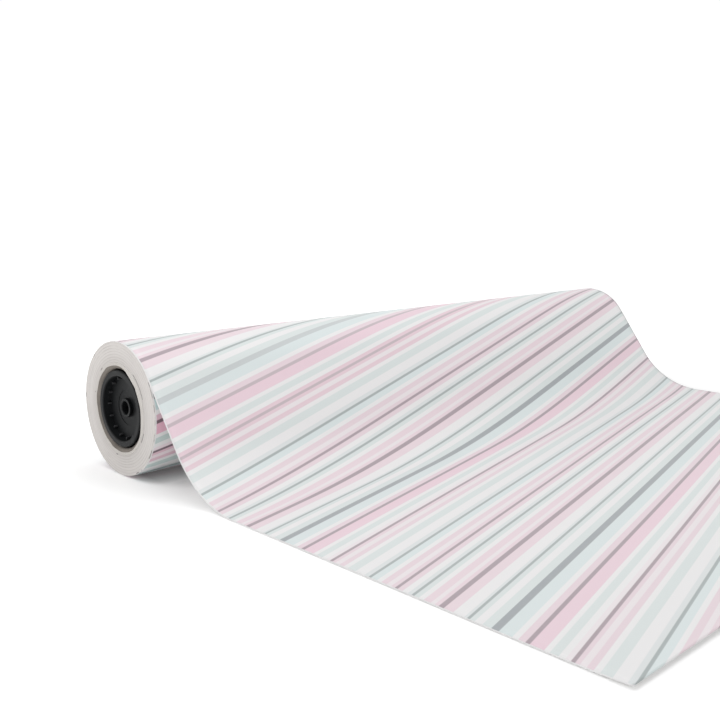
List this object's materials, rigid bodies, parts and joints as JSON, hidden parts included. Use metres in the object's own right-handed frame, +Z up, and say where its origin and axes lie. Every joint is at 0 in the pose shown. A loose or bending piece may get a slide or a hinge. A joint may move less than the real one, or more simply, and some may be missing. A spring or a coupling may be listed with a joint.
{
  "type": "wrapping paper roll",
  "caption": "Wide counter roll of striped gift-wrap paper on a board core with a push-in rod plug in each end, its outer turn drawn out in a sheet over the table.",
  "frame": {"origin": "on the table, under the middle of the whole outline of the roll and its drawn-out sheet", "axes": "+X along the roll's axis, +Y from the sheet's free end towards the roll, +Z up"},
  "size_m": [0.61, 0.4652, 0.0984],
  "materials": {
    "printed_paper": "satin",
    "wound_paper": "matte",
    "core_board": "matte",
    "start_tape": "satin",
    "black_plastic": "satin"
  },
  "bodies": {
    "sheet": {"outer_turn": "printed_paper", "sheet_drape": "printed_paper", "sheet_flat": "printed_paper"},
    "roll": {"paper_pack": "wound_paper", "core_tube": "core_board", "start_tape": "start_tape"},
    "left_plug_body": {"left_plug": "black_plastic"},
    "right_plug_body": {"right_plug": "black_plastic"}
  },
  "joints": [
    {"name": "roll_spin", "type": "hinge", "parent": "sheet", "child": "roll", "pos_m": [0, 0.1834, 0.0492], "axis": [1, 0, 0], "continuous": true},
    {"name": "left_plug_pull", "type": "slide", "parent": "roll", "child": "left_plug_body", "axis": [-1, 0, 0], "range_m": [0, 0.04]},
    {"name": "right_plug_pull", "type": "slide", "parent": "roll", "child": "right_plug_body", "axis": [1, 0, 0], "range_m": [0, 0.04]}
  ]
}
